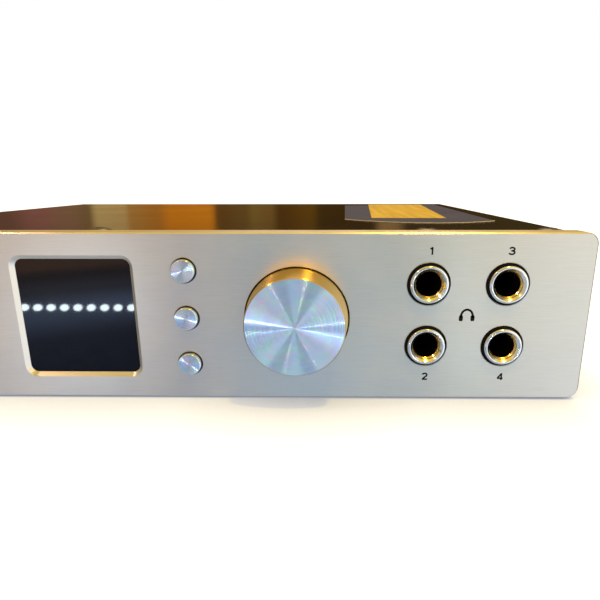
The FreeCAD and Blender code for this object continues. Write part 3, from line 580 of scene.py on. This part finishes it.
def buttons(finishes):
    """Caps with a spun face, a small broken edge and the hidden flange and stem behind."""
    for node, body in (("function_button_1", "button_1"), ("function_button_2", "button_2"),
                       ("function_button_3", "button_3"), ("standby_button", "standby")):
        low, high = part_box(node)
        flange = (high.x - low.x) / 2
        flat = BUTTON_RADIUS - BUTTON_EDGE
        back = FACE_Y + FLANGE_BACK
        profile = [(0, low.y)] + spun_face(0.06 * MM, flat, low.y, RING_PITCH, RING_SLOPE)
        profile += arc((flat, low.y + BUTTON_EDGE), BUTTON_EDGE, -90, 0, 6)
        profile += [(BUTTON_RADIUS, back), (flange, back), (flange, back + FLANGE_THICK),
                    (BUTTON_STEM, back + FLANGE_THICK), (BUTTON_STEM, high.y), (0, high.y)]
        cap = turning(node + "_turned", profile, middle(node), SMALL_STEPS,
                      finishes["turned_aluminium"], body,
                      grooved=(0, flat - 0.01 * MM))
        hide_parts(node)


def ferrules(finishes):
    """Chrome mouth rings: a rounded outer shoulder, a narrow lip and a bevelled throat."""
    for number in range(1, 5):
        node = "jack_ferrule_%d" % number
        low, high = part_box(node)
        outer = (high.x - low.x) / 2
        throat = FERRULE_THROAT
        front = low.y
        bevel = [(throat, front + 0.62 * MM)]
        lip = arc((throat + 0.62 * MM, front + 0.20 * MM), FERRULE_LIP, 215, 262, 5)
        shoulder = arc((outer - FERRULE_SHOULDER, front + 0.50 * MM), FERRULE_SHOULDER, 275, 360, 9)
        profile = [(throat, high.y)] + bevel + lip + shoulder + [(outer, high.y)]
        ring = turning(node + "_turned", profile, middle(node), SMALL_STEPS,
                       finishes["bright_chrome"], CHASSIS)
        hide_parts(node)


def jack_liners(finishes):
    """A thin sleeve in each jack's mouth: a flared lip inside the chrome, then a straight wall, with a satin
    gold tint that is painted warm reflection.
    """
    start, bend, end = FACE_Y - 0.10 * MM, FACE_Y + 0.30 * MM, FACE_Y + 1.7 * MM
    outer, straight, wall = LINER_FLARED, LINER_STRAIGHT, LINER_WALL
    profile = [(outer - wall, start), (outer, start), (straight, bend), (straight, end),
               (straight - wall, end), (straight - wall, bend)]
    for number in range(1, 5):
        # The gold tint of these sleeves is painted reflection of the warm lamp.
        turning("jack_liner_%d" % number, profile, middle("jack_ferrule_%d" % number), SMALL_STEPS,
                finishes["liner_painted_reflection"], CHASSIS)


# ---- printed marks ----
PRINT_FRONT = -0.012 * MM
PRINT_THICK = 0.03 * MM
PRINT_RIGHT, PRINT_UP = 0.15 * MM, 0.13 * MM
NUMERAL_ABOVE, NUMERAL_BELOW = 8.35 * MM, -8.60 * MM
NUMERALS = (("1", "headphone_jack_1", NUMERAL_ABOVE), ("2", "headphone_jack_2", NUMERAL_BELOW),
            ("3", "headphone_jack_3", NUMERAL_ABOVE), ("4", "headphone_jack_4", NUMERAL_BELOW))
NUMERAL_HEIGHT = 1.95 * MM
STROKE = 0.215
ICON_WIDTH = 4.0 * MM
ICON_HEIGHT = 3.3 * MM
BAND_WIDTH = 0.56 * MM
CUP_HALF_WIDTH, CUP_HALF_HEIGHT = 0.52 * MM, 0.78 * MM


def bow(centre, radii, start, end, count=18):
    """Points along an ellipse's arc, angles in degrees, as (x, z)."""
    a = np.radians(np.linspace(start, end, count))
    return np.column_stack([centre[0] + radii[0] * np.cos(a), centre[1] + radii[1] * np.sin(a)])


def numeral_strokes(digit):
    """The pen strokes of a numeral in a box one unit high, as lists of points."""
    if digit == "1":
        return [[(0.36, 0.0), (0.36, 1.0)], [(0.36, 0.93), (0.24, 0.80), (0.08, 0.745)]]
    if digit == "2":
        top = bow((0.36, 0.70), (0.29, 0.23), 170, -38)
        return [np.vstack([top, [(0.30, 0.30), (0.10, 0.10)]]), [(0.0, 0.07), (0.70, 0.07)]]
    if digit == "3":
        upper = bow((0.38, 0.715), (0.31, 0.21), 165, -82)
        lower = bow((0.38, 0.285), (0.35, 0.22), 88, -168)
        return [upper, lower, [(0.27, 0.515), (0.41, 0.515)]]
    return [[(0.56, 0.0), (0.56, 1.0)], [(0.56, 0.95), (0.06, 0.29)], [(0.0, 0.26), (0.76, 0.26)]]


def ribbon(path, width):
    """The outline of a pen stroke: the path moved half its width to each side along its normals."""
    path = np.asarray(path, float)
    run = np.gradient(path, axis=0)
    run /= np.linalg.norm(run, axis=1)[:, None]
    side = np.column_stack([-run[:, 1], run[:, 0]]) * width / 2
    return np.vstack([path - side, (path + side)[::-1]])


def extruded(outlines, front, thick):
    """Points and faces of closed plates, one for each (x, z) outline made by ribbon or bow."""
    points, faces = [], []
    for rim in outlines:
        count = len(rim)
        first = sum(len(p) for p in points)
        points.append(np.vstack([np.column_stack([rim[:, 0], np.full(count, y), rim[:, 1]])
                                 for y in (front, front + thick)]))
        across = np.arange(count)
        after = (across + 1) % count
        sides = np.stack([across, count + across, count + after, after], -1) + first
        half = np.arange(count // 2 - 1)
        strip = np.stack([half, half + 1, count - 2 - half, count - 1 - half], -1) + first
        faces += sides.tolist() + strip.tolist() + (strip[:, ::-1] + count).tolist()
    return np.vstack(points), faces


def numerals(finishes):
    """Jack numbers printed above and below the sockets, centred on each jack's axis."""
    for digit, node, rise in NUMERALS:
        x, z = middle(node)
        strokes = [ribbon(path, STROKE) for path in numeral_strokes(digit)]
        low = np.min([s.min(0) for s in strokes], axis=0)
        high = np.max([s.max(0) for s in strokes], axis=0)
        corner = (x + PRINT_RIGHT, z + PRINT_UP + rise) - (low + high) / 2 * NUMERAL_HEIGHT
        outlines = [corner + s * NUMERAL_HEIGHT for s in strokes]
        points, faces = extruded(outlines, FACE_Y + PRINT_FRONT, PRINT_THICK)
        mesh_piece("numeral_" + digit, points, faces, finishes["print_ink"], CHASSIS)


def headphone_icon(finishes):
    """A headband arc and two round-cornered ear cups between the four jacks.

    The band is a pen stroke along a half ellipse; each cup is the superellipse
    |x/w|^4 + |z/h|^4 = 1, listed from its right tip round so that it fills as a strip.
    """
    x = sum(middle("headphone_jack_%d" % n)[0] for n in range(1, 5)) / 4 + PRINT_RIGHT
    z = sum(middle("headphone_jack_%d" % n)[1] for n in range(1, 5)) / 4 + 0.1 * MM + PRINT_UP
    low = z - ICON_HEIGHT / 2
    half = ICON_WIDTH / 2 - 0.5 * MM
    crown = low + ICON_HEIGHT - 0.25 * MM
    spring = low + 1.25 * MM
    band = ribbon(bow((x, spring), (half, crown - spring), -12, 192, 60), BAND_WIDTH)
    around = np.linspace(0, 2 * math.pi, 40, endpoint=False)
    wave = np.stack([np.cos(around), np.sin(around)], -1)
    blob = np.sign(wave) * np.abs(wave) ** 0.5
    cup = blob * (CUP_HALF_WIDTH, CUP_HALF_HEIGHT)
    cups = [(x + side * (half - 0.02 * MM), low + CUP_HALF_HEIGHT) + cup for side in (-1, 1)]
    points, faces = extruded([band] + cups, FACE_Y + PRINT_FRONT, PRINT_THICK)
    mesh_piece("headphone_icon", points, faces, finishes["print_ink"], CHASSIS)


# ---- film and label on the cover, in millimetres from the middle and the face ----
FILM_FRONT, FILM_FRONT_SLANT, FILM_BOW = 49, 6.5, 45
FILM_REAR, FILM_REAR_SLANT = 145, 10
FILM_LEFT, FILM_LEFT_LEAN = 46.6, 2.9
FILM_RIGHT, FILM_RIGHT_LEAN = 96.5, 3.5
FILM_LIFT, FILM_RIPPLE, FILM_THICK = 0.08, 0.05, 0.06
LABEL_LEFT, LABEL_FRONT = 56.3, 54
LABEL_WIDTH, LABEL_LENGTH = 26.4, 99
LABEL_LEAN, LABEL_SPREAD = 6.5, 2.8
LABEL_LIFT, LABEL_RIPPLE, LABEL_THICK = 0.22, 0.02, 0.05


def cover_film(finishes):
    """A torn piece of protective film lying on the cover, right of the knob.

    Point (u, v) runs from the left edge to the right one and from the bowed front
    edge to the rear: the front edge is a straight run less a parabola in u, with a
    small fray, and the film rises in low ripples.
    """
    u, v = np.meshgrid(np.linspace(0, 1, 90), np.linspace(0, 1, 60), indexing="ij")
    fray = 0.35 * np.sin(61 * u) * np.sin(23 * u + 1) + 0.2 * np.sin(149 * u + 2)
    front = FILM_FRONT - FILM_FRONT_SLANT * u - FILM_BOW * u * (1 - u) + fray
    rear = FILM_REAR + FILM_REAR_SLANT * u
    left = FILM_LEFT + FILM_LEFT_LEAN * v
    right = FILM_RIGHT + FILM_RIGHT_LEAN * v
    x = left + (right - left) * u
    y = front + (rear - front) * v
    inside = np.sin(math.pi * u) * np.sin(math.pi * v)
    lift = FILM_LIFT + FILM_RIPPLE * (1 + np.sin(0.21 * x + 0.05 * y)) * inside
    sheet_piece("cover_film", x, y, lift, FILM_THICK, finishes["cover_film"],
                (x, v * (rear - front)))


def foil_label(finishes):
    """A blank foil label on the film: a straight-sided grid that leans and widens towards the rear."""
    u, v = np.meshgrid(np.linspace(0, 1, 40), np.linspace(0, 1, 60), indexing="ij")
    x = LABEL_LEFT + LABEL_WIDTH * u + (LABEL_LEAN + LABEL_SPREAD * u) * v
    y = LABEL_FRONT - u + LABEL_LENGTH * v
    lift = LABEL_LIFT + LABEL_RIPPLE * np.sin(0.3 * x) * np.sin(0.1 * y)
    sheet_piece("foil_label", x, y, lift, LABEL_THICK, finishes["foil_label"], (x, y))


def sheet_piece(name, x, y, z, thick, material, mapped):
    """A thin closed sheet over the cover's top, in millimetres from the face and the cover's top.

    The upper and lower grids are joined round their rims; mapped gives the two
    values of the UV map, in millimetres.
    """
    count = x.size
    top = np.stack([x, y, z + thick], -1).reshape(-1, 3) * MM
    low = np.stack([x, y, z], -1).reshape(-1, 3) * MM
    points = np.vstack([top, low]) + (0, FACE_Y, COVER_TOP)
    number = np.arange(count).reshape(x.shape)
    upper = np.stack([number[:-1, :-1], number[1:, :-1], number[1:, 1:], number[:-1, 1:]], -1)
    upper = upper.reshape(-1, 4)
    rim = np.concatenate([number[:, 0], number[-1, 1:], number[-2::-1, -1], number[0, -2:0:-1]])
    after = np.roll(rim, -1)
    sides = np.stack([after, rim, rim + count, after + count], -1)
    faces = np.concatenate([upper, upper[:, ::-1] + count, sides])
    piece = mesh_piece(name, points, faces.tolist(), material, CHASSIS)
    points_above = read(piece.data.loops, "vertex_index") % count
    uv_map(piece.data, "sheet", mapped[0].ravel()[points_above], mapped[1].ravel()[points_above])


# ---- stage and light ----
def floor():
    """A wide pale floor that gives off its own white light, dimmed close to the object as a painted contact
    shadow.

    Glossy faces don't show it, and it casts no shadow.
    """
    mesh = bpy.data.meshes.new("floor")
    reach = 3.0
    mesh.from_pydata([(-reach, -reach, 0), (reach, -reach, 0), (reach, reach, 0), (-reach, reach, 0)],
                     [], [(0, 1, 2, 3)])
    plane = bpy.data.objects.new("floor", mesh)
    bpy.context.scene.collection.objects.link(plane)
    f = Finish("floor_white", Base_Color=(0.30, 0.36, 0.55, 1), Roughness=0.7,
               Emission_Color=(1, 1, 1, 1))
    painted_contact_shade = f.add("ShaderNodeAmbientOcclusion", samples=8)
    painted_contact_shade.inputs["Distance"].default_value = 25 * MM
    # Painted shadow: ambient occlusion dims the floor's glow near the object.
    f.link(f.span(painted_contact_shade.outputs["AO"], 0.05, 0.90), f.surface, "Emission Strength")
    mesh.materials.append(f.material)
    plane.visible_glossy = False
    plane.visible_shadow = False


class Room(Wiring):
    """The studio's surroundings: a sum of soft fields over the direction of view."""

    def __init__(self):
        self.world = bpy.data.worlds.new("studio")
        self.world.use_nodes = True
        super().__init__(self.world.node_tree)
        self.tree.nodes.clear()
        direction = self.add("ShaderNodeTexCoord").outputs["Generated"]
        normal = self.add("ShaderNodeVectorMath", operation="NORMALIZE")
        self.link(direction, normal, 0)
        self.direction = normal.outputs["Vector"]
        split = self.add("ShaderNodeSeparateXYZ")
        self.link(self.direction, split, 0)
        self.x, self.y, self.z = split.outputs

    def shade(self, source, start, end, stops):
        """A colour ramp over a value; stops are (value, colour)."""
        node = self.add("ShaderNodeValToRGB")
        ramp = node.color_ramp
        ramp.interpolation = "EASE"
        while len(ramp.elements) < len(stops):
            ramp.elements.new(0.5)
        for element, (value, color) in zip(ramp.elements, stops):
            element.position = (value - start) / (end - start)
            element.color = (*color, 1)
        self.link(self.span(source, 0, 1, start, end), node, "Fac")
        return node.outputs["Color"]

    def patch(self, toward, inner, outer):
        """A soft round field, 1 within inner degrees of a direction and 0 beyond outer degrees."""
        node = self.add("ShaderNodeVectorMath", operation="DOT_PRODUCT")
        self.link(self.direction, node, 0)
        node.inputs[1].default_value = Vector(toward).normalized()
        return self.span(node.outputs["Value"], 0, 1, math.cos(math.radians(outer)),
                         math.cos(math.radians(inner)), "SMOOTHSTEP")


# Directions, from the object, that the knob's end, the display's lens and the cards lie towards.
BEFORE_KNOB = (-0.08, -0.95, -0.33)
BEFORE_LENS = (-0.50, -0.84, -0.26)
ABOUT_CARDS = (-0.08, -0.95, -0.30)
CARDS_X, CARDS_Z = -0.077, -0.305

# The light in front, from left to right, and what lies straight above and below.
ROOM_FRONT = ((-1.0, (0.58, 0.56, 0.48)), (-0.62, (0.56, 0.54, 0.46)), (-0.39, (0.40, 0.44, 0.38)),
              (-0.2, (0.22, 0.26, 0.25)), (-0.05, (0.20, 0.28, 0.36)), (0.12, (0.31, 0.39, 0.43)),
              (0.28, (0.46, 0.53, 0.58)), (0.42, (1.10, 1.20, 1.32)), (1.0, (1.60, 1.70, 1.95)))
ROOM_ABOVE = (0.98, 0.64, 0.10)
ROOM_BELOW = (0.50, 0.53, 0.56)

# How the light in front shifts from neutral low down to warm higher up.
ROOM_TINTS = ((-0.45, (0.98, 1.0, 1.03)), (-0.25, (0.98, 0.98, 0.95)), (-0.05, (1.06, 0.94, 0.70)))

# What the display's lens mirrors, from low to high: dusk, the haze about the strip lamps, a brown wall.
ROOM_BEFORE_LENS = ((-0.40, (0.08, 0.10, 0.20)), (-0.29, (0.20, 0.26, 0.50)), (-0.235, (0.95, 1.35, 2.4)),
                    (-0.195, (0.34, 0.36, 0.50)), (-0.170, (0.20, 0.13, 0.10)), (-0.150, (0.85, 0.44, 0.22)),
                    (-0.10, (0.70, 0.36, 0.20)))

# Pale and dark cards round the point that the knob's end mirrors, by angle, as shares of the light there.
ROOM_CARDS = ((0, 0.70), (5, 0.74), (11, 1.18), (30, 0.95), (52, 1.15), (58, 0.62), (72, 0.60), (79, 1.05),
              (95, 1.12), (101, 0.66), (114, 0.62), (121, 1.12), (140, 0.95), (165, 1.15), (174, 0.76),
              (180, 0.70))

# What stands behind the amplifier, by x/y of the direction: doors, shelves and lamplight, out of focus.
ROOM_BANDS = ((-1.0, (0.05, 0.025, 0.015)), (-0.70, (0.08, 0.035, 0.02)), (-0.63, (0.13, 0.05, 0.035)),
              (-0.56, (0.12, 0.06, 0.03)), (-0.515, (0.10, 0.055, 0.02)), (-0.502, (0.26, 0.17, 0.06)),
              (-0.44, (0.26, 0.16, 0.055)), (-0.43, (0.22, 0.10, 0.02)), (-0.37, (0.22, 0.08, 0.01)),
              (-0.34, (0.32, 0.10, 0.005)), (-0.255, (0.34, 0.11, 0.005)), (-0.240, (0.07, 0.03, 0.005)),
              (-0.18, (0.08, 0.04, 0.008)),
              (-0.165, (0.11, 0.06, 0.012)), (-0.125, (0.10, 0.05, 0.01)), (-0.11, (0.05, 0.02, 0.002)),
              (-0.04, (0.07, 0.03, 0.002)), (-0.02, (0.03, 0.014, 0.002)), (0.09, (0.025, 0.012, 0.002)),
              (0.11, (0.16, 0.09, 0.03)), (0.14, (0.15, 0.085, 0.03)), (0.165, (0.03, 0.015, 0.004)),
              (0.45, (0.03, 0.02, 0.005)), (0.49, (0.14, 0.08, 0.02)), (0.60, (0.05, 0.03, 0.01)),
              (1.0, (0.05, 0.03, 0.015)))
BANDS_GAIN = 1.9

# What is higher up behind, from the horizon to straight above.
ROOM_HIGH = ((0.0, (0.0, 0.0, 0.0)), (0.25, (0.26, 0.20, 0.15)), (0.6, (0.6, 0.38, 0.15)),
             (1.0, (0.8, 0.5, 0.2)))


def studio():
    """Cool light in front, a warm glow above, and a dim warm room low down behind.

    The eye sees plain white past the object; only lighting and mirroring use the fields.
    """
    room = Room()
    front = room.shade(room.x, -1, 1, ROOM_FRONT)
    front = room.blend(room.patch(BEFORE_KNOB, 4, 24), front, (0.49, 0.73, 1.02))
    before_lens = room.shade(room.z, -0.40, -0.10, ROOM_BEFORE_LENS)
    front = room.blend(room.patch(BEFORE_LENS, 12, 22), front, before_lens)
    front = room.blend(1.0, front, room.shade(room.z, -0.45, -0.05, ROOM_TINTS), "MULTIPLY")
    around_knob = room.joined("ARCTAN2", room.joined("SUBTRACT", room.z, CARDS_Z),
                              room.joined("SUBTRACT", room.x, CARDS_X))
    folded = room.joined("FLOORED_MODULO", around_knob, math.pi)
    cards = room.shade(folded, 0, math.pi, [(math.radians(angle), (level, level, level))
                                            for angle, level in ROOM_CARDS])
    front = room.blend(room.patch(ABOUT_CARDS, 30, 48), front,
                       room.blend(1.0, front, cards, "MULTIPLY"))
    behind = room.shade(room.joined("DIVIDE", room.x, room.y), -1.0, 1.0,
                        [(value, tuple(BANDS_GAIN * c for c in color)) for value, color in ROOM_BANDS])
    behind = room.blend(room.span(room.z, 0, 1, 0.10, 0.35, "SMOOTHSTEP"), behind,
                        room.shade(room.z, 0, 1, ROOM_HIGH))
    around = room.blend(room.span(room.y, 0, 1, -0.25, 0.15, "SMOOTHSTEP"), front, behind)
    around = room.blend(room.span(room.z, 0, 1, 0.35, 0.85, "SMOOTHSTEP"), around, ROOM_ABOVE)
    around = room.blend(room.span(room.z, 1, 0, -0.75, -0.50, "SMOOTHSTEP"), around, ROOM_BELOW)
    lit = room.add("ShaderNodeBackground")
    room.link(around, lit, "Color")
    white = room.add("ShaderNodeBackground")
    white.inputs["Color"].default_value = (1, 1, 1, 1)
    shader = room.add("ShaderNodeMixShader")
    room.link(room.add("ShaderNodeLightPath").outputs["Is Camera Ray"], shader, 0)
    room.link(lit.outputs[0], shader, 1)
    room.link(white.outputs[0], shader, 2)
    room.link(shader.outputs[0], room.add("ShaderNodeOutputWorld"), "Surface")
    bpy.context.scene.world = room.world


# The streaks on the knob's end: name, angle in degrees, reach of the lamp, watts and colour.
STREAKS = (("right", 7.0, 0.42, 0.035, (0.75, 0.95, 1.0)),
           ("upper_right", 75.5, 0.55, 0.022, (1.0, 0.80, 0.60)),
           ("upper_left", 118.0, 0.55, 0.018, (1.0, 0.75, 0.75)))

GLOW_POWER = 0.000020
GLOW_SPREAD, GLOW_MIDDLE = 38, 88
LENS_DEPTH = 0.9 * MM
STRIP_PITCH = 3.5 * MM
STRIP_HEIGHT = 24.5 * MM
STRIP_SIZE = (0.0062, 0.0052)
STRIP_POWER = 0.0034


def soft_light(name, toward, distance, size, power, color, aim=(0, 0, 0), shape="RECTANGLE"):
    """An area light, unseen itself, at a distance along a direction from the point it faces."""
    data = bpy.data.lights.new(name, "AREA")
    data.shape = shape
    data.size, data.size_y = size
    data.energy = power
    data.color = color
    light = bpy.data.objects.new(name, data)
    bpy.context.scene.collection.objects.link(light)
    away = Vector(toward).normalized()
    light.location = Vector(aim) + away * distance
    light.rotation_euler = away.to_track_quat("Z", "Y").to_euler()
    light.visible_camera = False


def lamps():
    """Two warm ceiling lamps, a fill behind, and the small lamps for streaks, glow and the lens."""
    face = ((PANEL_LOW.x + PANEL_HIGH.x) / 2, FACE_Y, PANEL_HIGH.z / 2)
    soft_light("ceiling_lamp", (0.24, -0.24, 0.94), 1.6, (0.07, 0.07), 13.7, (1.0, 0.59, 0.07), face)
    soft_light("ceiling_lamp_left", (-0.62, -0.21, 0.75), 1.6, (0.05, 0.05), 4, (1.0, 0.60, 0.40), face)
    soft_light("fill_behind", (0.1, 0.45, 0.88), 1.2, (0.8, 0.5), 3, (1.0, 0.93, 0.85))
    streak_lamps()
    knob_glow()
    strip_lamps()


def streak_lamps():
    """Small lamps that each draw one bright diameter across the spun end of the knob.

    A spun face shows a lamp along the diameter that is parallel to the half vector of
    the lamp and the eye. Each lamp is set from the mirror direction of the eye, moved
    by a reach along that diameter's angle. The strip lamps draw the streak at the left.
    """
    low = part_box("volume_knob")[0]
    x, z = middle("volume_knob")
    knob = Vector((x, low.y, z))
    eye = (bpy.context.scene.camera.location - knob).normalized()
    for name, angle, reach, power, color in STREAKS:
        toward = Vector((-eye.x + reach * math.cos(math.radians(angle)), 0,
                         -eye.z + reach * math.sin(math.radians(angle))))
        toward.y = -math.sqrt(1 - toward.length_squared)
        soft_light("streak_lamp_" + name, toward, 0.6, (0.006, 0.006), power, color, knob)


def knob_glow():
    """The warm light above the knob on the panel: small lamps along an arc over the knob's top.

    The power of the lamp at an angle falls off as a bell curve about the middle one.
    """
    x, z = middle("volume_knob")
    low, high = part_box("volume_knob")
    radius = (high.x - low.x) / 2 + 0.4 * MM
    for number, angle in enumerate(range(30, 151, 8)):
        out = Vector((math.cos(math.radians(angle)), 0, math.sin(math.radians(angle))))
        place = Vector((x, FACE_Y - 3.0 * MM, z)) + out * radius
        share = math.exp(-((angle - GLOW_MIDDLE) / GLOW_SPREAD) ** 2)
        soft_light("knob_glow_%d" % number, -out - Vector((0, 0.7, 0)), 0, (3.6 * MM, 3.6 * MM),
                   GLOW_POWER * share, (1.0, 0.42, 0.02), place)


def strip_lamps():
    """A row of nine small cool lamps low in front, which the display's lens mirrors to the eye.

    The eye's mirror image in the lens plane is the camera moved to the same distance
    behind it; a lamp lies on the line from there through its spot on the lens, beyond it.
    """
    low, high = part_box("display_window")
    lens_y = FACE_Y + LENS_DEPTH
    eye = bpy.context.scene.camera.location
    behind = Vector((eye.x, 2 * lens_y - eye.y, eye.z))
    for number in range(9):
        spot = Vector(((low.x + high.x) / 2 + (number - 4) * STRIP_PITCH, lens_y,
                       PANEL_LOW.z + STRIP_HEIGHT))
        toward = spot - behind
        soft_light("strip_lamp_%d" % (number + 1), toward, toward.length * 3, STRIP_SIZE, STRIP_POWER,
                   (0.80, 0.93, 1.0), behind, "ELLIPSE")


set_camera()
finishes = make_finishes()
finish_cad_nodes(finishes)
knob_face(finishes)
buttons(finishes)
ferrules(finishes)
jack_liners(finishes)
numerals(finishes)
headphone_icon(finishes)
cover_film(finishes)
foil_label(finishes)
floor()
studio()
lamps()
bpy.context.scene.view_settings.view_transform = "Standard"
